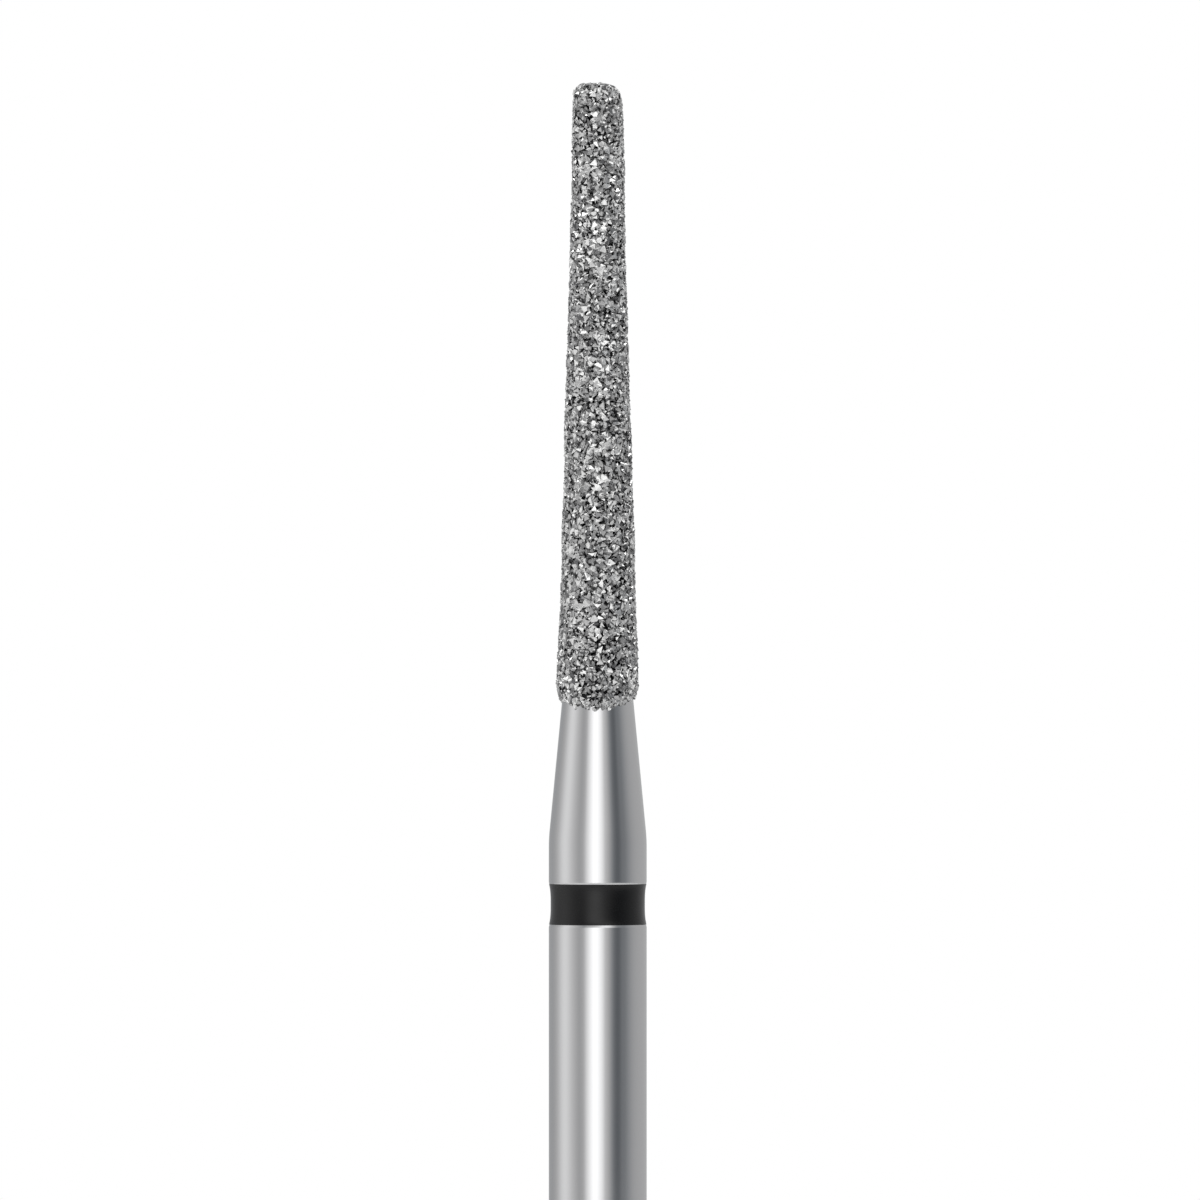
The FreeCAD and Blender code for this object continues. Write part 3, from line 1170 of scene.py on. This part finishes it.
    def build(self, form: HeadForm) -> Points:
        """Makes all crystals as one faceted piece and dresses it.

        Args:
            form: the head's form.

        Returns:
            The crystals' middles.
        """
        draw = np.random.default_rng(self.seed)
        count = self.count + self.fines
        run, angle = self.scatter(form, draw)
        shrink = 1 - self.rim_shrink * (1 - np.clip(run / self.rim_run, 0, 1))
        run = np.concatenate([run, draw.uniform(*self.fines_run, self.fines)])
        angle = np.concatenate([angle, draw.uniform(0, 2 * math.pi, self.fines)])
        size = np.concatenate([shrink, np.full(self.fines, self.fines_size)])
        depth = np.concatenate([self.sunk * shrink, np.full(self.fines, self.fines_sunk)])
        half = 0.5 * self.size_mm * size * (1 + self.size_spread * draw.uniform(-1, 1, count))
        depth = depth + self.sunk_spread * draw.normal(size=count)
        seats = form.place(run, angle, depth)
        corners = self.crystal_points(draw.uniform(*self.cut, count))
        places, height = self.seat(corners, half, depth, seats, draw)
        sides = self.crystal_sides()
        tones = self.tones(len(sides), draw)
        self.make("diamond_grit", places, height, sides, tones)
        return seats[0]


@dataclass
class DiamondChips(DiamondLayer):
    """Sharp chips and slivers of diamond, plated on between the crystals and over them."""

    count: int = 12000
    size_mm: float = 0.066
    size_spread: float = 0.35
    stretch: tuple[float, float] = (0.22, 2.10)
    chipping: float = 0.25
    sunk: float = 0.026
    sunk_spread: float = 0.012
    proud_share: float = 0.30
    seed: int = 53
    strew_along: float = 0.0073
    strew_around: float = 0.078

    def scatter(self, form: HeadForm, draw: np.random.Generator) -> tuple[np.ndarray, np.ndarray]:
        """Strews the chips along a spiral that gives each the same piece of surface.

        Args:
            form: the head's form.
            draw: the random draw.

        Returns:
            Each chip's distance from the rim along the profile, and its angle.
        """
        number = np.arange(self.count) + 0.5
        strewn = self.strew_along * draw.normal(size=self.count) / form.length
        run = form.run_by_area(np.clip(number / self.count + strewn, 0, 1))
        golden = math.pi * (3 - math.sqrt(5))
        turn = self.strew_around / form.line[:, 0].mean()
        return run, golden * number + turn * draw.normal(size=self.count)

    def build(self, form: HeadForm) -> None:
        """Makes all chips as one faceted piece of uneven octahedra and dresses it.

        Args:
            form: the head's form.
        """
        draw = np.random.default_rng(self.seed)
        run, angle = self.scatter(form, draw)
        depth = self.sunk + self.sunk_spread * draw.normal(size=self.count)
        half = 0.5 * self.size_mm * (1 + self.size_spread * draw.uniform(-1, 1, self.count))
        tips = np.repeat(np.eye(3), 2, axis=0) * np.tile([1.0, -1.0], 3)[:, None]
        seats = form.place(run, angle, depth)
        places, height = self.seat(tips[None], half, depth, seats, draw)
        ring = [(0, 2), (2, 1), (1, 3), (3, 0)]
        upper = [[near, far, 4] for near, far in ring]
        lower = [[far, near, 5] for near, far in ring]
        tones = draw.uniform(0, 1, len(upper + lower) * self.count)
        self.make("diamond_chips", places, height, upper + lower, tones)


@dataclass
class DiamondHead:
    """The coated head: crystals and chips on their form, and the nickel between them."""

    form: HeadForm = field(default_factory=HeadForm)
    grit: DiamondGrit = field(default_factory=DiamondGrit)
    chips: DiamondChips = field(default_factory=DiamondChips)
    bond: NickelBond = field(default_factory=NickelBond)

    def build(self) -> None:
        """Builds the crystals first, because the nickel climbs towards them."""
        middles = self.grit.build(self.form)
        self.chips.build(self.form)
        self.bond.build(self.form, middles)


# The studio.


@dataclass(frozen=True)
class Glow:
    """A soft patch of light or shade on the tent, centred on one direction.

    Directions and the spread are degrees round the bur, from the camera's side and positive to
    the right. The patch fades out below its low height and above its top.
    """

    direction: float
    spread: float
    level: float
    low: float = -math.inf
    top: float = math.inf


@dataclass
class LightTent:
    """A round cloth tent that lights the bur: grey all round, brighter where lamps shine on it.

    Where it lies in shade it is a little cooler, as the light of a window is.
    """

    radius: float = 150.0
    low: float = -60.0
    high: float = 160.0
    columns: int = 360
    rows: int = 48
    cloth_level: float = 0.60
    shade_colour: str = "#EAF4FF"
    overhead_gain: float = 2.0
    overhead: tuple[float, float] = (110.0, 150.0)
    glow_fade: float = 14.0
    glows: tuple[Glow, ...] = (
        Glow(direction=-4, spread=16, level=1.33, top=52.0),
        Glow(direction=20, spread=16, level=1.00, low=76.0, top=120.0),
        Glow(direction=-84, spread=16, level=0.50),
        Glow(direction=-155, spread=28, level=-0.12),
        Glow(direction=-100, spread=40, level=0.90, low=125.0),
        Glow(direction=110, spread=40, level=1.20, low=125.0),
        Glow(direction=-40, spread=8, level=-0.14),
        Glow(direction=-33, spread=3, level=-0.08),
        Glow(direction=3, spread=4, level=-0.09),
        Glow(direction=17, spread=3, level=-0.11),
        Glow(direction=30, spread=6, level=0.08),
        Glow(direction=59, spread=4, level=0.05),
        Glow(direction=47, spread=24, level=-0.42),
    )

    def level(self, direction: np.ndarray, height: np.ndarray) -> np.ndarray:
        """Works out the cloth's level: its own plus each glow's.

        A glow is a bell curve round the bur, and its edges below and above are halves of one
        whose spread is the fade. All of it grows by 1 + gain s^2 (3 - 2 s) towards the top, where
        the lamps stand, with s from 0 to 1 over the overhead heights.

        Args:
            direction: degrees round the bur from the camera's side.
            height: heights above the floor, in millimetres.

        Returns:
            The level by height and direction, where 1 is white.
        """
        level = np.full((len(height), len(direction)), self.cloth_level)
        for glow in self.glows:
            away = (direction - glow.direction + 180) % 360 - 180
            outside = np.clip(np.maximum(glow.low - height, height - glow.top), 0, None)
            upright = np.exp(-0.5 * (outside / self.glow_fade) ** 2)
            across = np.exp(-0.5 * (away / glow.spread) ** 2)
            level = level + glow.level * upright[:, None] * across
        start, end = self.overhead
        share = np.clip((height - start) / (end - start), 0, 1)
        gain = 1 + self.overhead_gain * share**2 * (3 - 2 * share)
        return gain[:, None] * level

    def cloth(self) -> Material:
        """Builds the cloth, which shines at the level stored for each of its points.

        Returns:
            The material.
        """
        material, tree = new_material("tent_cloth")
        glow = add_node(tree, "Attribute", {"attribute_name": "glow"}).outputs["Fac"]
        share = add_node(tree, "MapRange", inputs={"Value": glow, "From Max": self.cloth_level})
        colour = add_node(
            tree,
            "Mix",
            {"data_type": "RGBA"},
            {0: share.outputs[0], 6: hex_to_linear(self.shade_colour), 7: hex_to_linear(WHITE)},
        )
        light = add_node(tree, "Emission", inputs={"Color": colour.outputs[2], "Strength": glow})
        close_material(tree, light.outputs["Emission"])
        return material

    def build(self) -> None:
        """Makes the tent, which faces inwards and which the camera doesn't see."""
        direction = np.arange(self.columns) * 360.0 / self.columns - 180
        around = np.radians(direction)
        height = np.linspace(self.low, self.high, self.rows)
        grid = np.broadcast_arrays(
            self.radius * np.sin(around)[None], -self.radius * np.cos(around)[None], height[:, None]
        )
        numbers = np.arange(self.rows * self.columns).reshape(self.rows, self.columns)
        inwards = ring_quads(numbers)[:, [1, 0, 3, 2]].tolist()
        points = np.stack(grid, axis=-1).reshape(-1, 3)
        tent = make_piece("light_tent", points, inwards, Shading.SMOOTH, sharp_degrees=180)
        store_number(tent, "glow", "POINT", self.level(direction, height).ravel())
        tent.data.materials.append(self.cloth())
        tent.visible_camera = False


@dataclass
class Studio:
    """The room: a pale floor, a white background, the light tent and the camera."""

    floor_radius: float = 48.0
    floor_hub: float = 1.0
    floor_rings: int = 12
    floor_columns: int = 96
    floor_drop: float = 0.02
    floor_colour: str = "#EDEDED"
    floor_white: float = 0.62
    floor_fade: tuple[float, float] = (14.0, 47.0)
    ambient: float = 0.75
    lens_mm: float = 500.0
    sensor_mm: float = 36.0
    clip: tuple[float, float] = (10.0, 3000.0)
    distance: float = 272.4
    camera_height: float = 13.551
    camera_side: float = 0.0366
    tent: LightTent = field(default_factory=LightTent)

    @staticmethod
    def seen_directly(tree: NodeTree) -> NodeSocket:
        """Finds the rays that see the room itself: camera, glossy and transmission rays.

        Args:
            tree: the tree that needs the answer.

        Returns:
            An output that is 1 for those rays and 0 for the rest.
        """
        rays = add_node(tree, "LightPath")
        seen = rays.outputs["Is Camera Ray"]
        for name in ("Is Glossy Ray", "Is Transmission Ray"):
            either = {0: seen, 1: rays.outputs[name]}
            seen = add_node(tree, "Math", {"operation": "MAXIMUM"}, either).outputs[0]
        return seen

    def floor_material(self) -> Material:
        """Builds the floor's matt white card, which takes the shadow and fades out at its rim.

        Returns:
            The material.
        """
        material, tree = new_material("white_card")
        place = add_node(tree, "TexCoord").outputs["Object"]
        reach = add_node(tree, "VectorMath", {"operation": "LENGTH"}, {0: place})
        fade = add_node(
            tree,
            "MapRange",
            {"interpolation_type": "SMOOTHSTEP"},
            {
                "Value": reach.outputs["Value"],
                "From Min": self.floor_fade[0] * MM,
                "From Max": self.floor_fade[1] * MM,
            },
        )
        card = add_node(tree, "BsdfDiffuse", inputs={"Color": hex_to_linear(self.floor_colour)})
        white = add_node(tree, "Emission", inputs={"Color": hex_to_linear(WHITE)})
        share = add_node(
            tree,
            "Math",
            {"operation": "MULTIPLY"},
            {0: self.seen_directly(tree), 1: self.floor_white},
        )
        lit = add_node(
            tree,
            "MixShader",
            inputs={0: share.outputs[0], 1: card.outputs["BSDF"], 2: white.outputs["Emission"]},
        )
        clear = add_node(tree, "BsdfTransparent")
        faded = add_node(
            tree,
            "MixShader",
            inputs={0: fade.outputs["Result"], 1: lit.outputs[0], 2: clear.outputs["BSDF"]},
        )
        close_material(tree, faded.outputs[0])
        return material

    def build_floor(self) -> None:
        """Lays the floor, a disc of rings round a hub, just under the bur's end."""
        radii = np.linspace(self.floor_radius, self.floor_hub, self.floor_rings)
        profile = np.stack([radii, np.full_like(radii, -self.floor_drop)], axis=1)
        rings = turn_profile(profile, self.floor_columns)
        numbers = np.arange(self.floor_rings * self.floor_columns).reshape(rings.shape[:2])
        faces = ring_quads(numbers).tolist() + [numbers[-1].tolist()]
        floor = make_piece("floor", rings.reshape(-1, 3), faces, Shading.SMOOTH, sharp_degrees=180)
        floor.data.materials.append(self.floor_material())

    def build_world(self) -> None:
        """Makes the background white where it is seen, and a plain soft light elsewhere."""
        world = bpy.data.worlds.new("studio")
        world.use_nodes = True
        tree = world.node_tree
        tree.nodes.clear()
        level = add_node(
            tree,
            "MapRange",
            inputs={"Value": self.seen_directly(tree), "To Min": self.ambient, "To Max": 1.0},
        )
        background = add_node(
            tree,
            "Background",
            inputs={"Color": hex_to_linear(WHITE), "Strength": level.outputs["Result"]},
        )
        add_node(tree, "OutputWorld", inputs={"Surface": background.outputs["Background"]})
        bpy.context.scene.world = world

    def build_camera(self) -> None:
        """Puts up the camera, level and in front, with a long lens as for small tools."""
        data = bpy.data.cameras.new("long_lens")
        data.lens, data.sensor_width = self.lens_mm, self.sensor_mm
        data.clip_start, data.clip_end = self.clip[0] * MM, self.clip[1] * MM
        camera = bpy.data.objects.new("camera", data)
        camera.location = (self.camera_side * MM, -self.distance * MM, self.camera_height * MM)
        camera.rotation_euler = (math.pi / 2, 0, 0)
        bpy.context.scene.collection.objects.link(camera)
        bpy.context.scene.camera = camera

    def build(self) -> None:
        """Builds the whole room and sets how colours are shown."""
        bpy.context.scene.view_settings.view_transform = "Standard"
        self.build_camera()
        self.build_world()
        self.build_floor()
        self.tent.build()
        LOG.info("studio: floor, tent, world and camera")


# The whole bur.


def main() -> None:
    """Builds the room and then each sub-assembly of the bur, from the shank up."""
    logging.basicConfig(level=logging.INFO, format="%(name)s %(message)s")
    Studio().build()
    SteelBlank().build()
    ColourBand().build()
    DiamondHead().build()


if __name__ == "__main__":
    main()
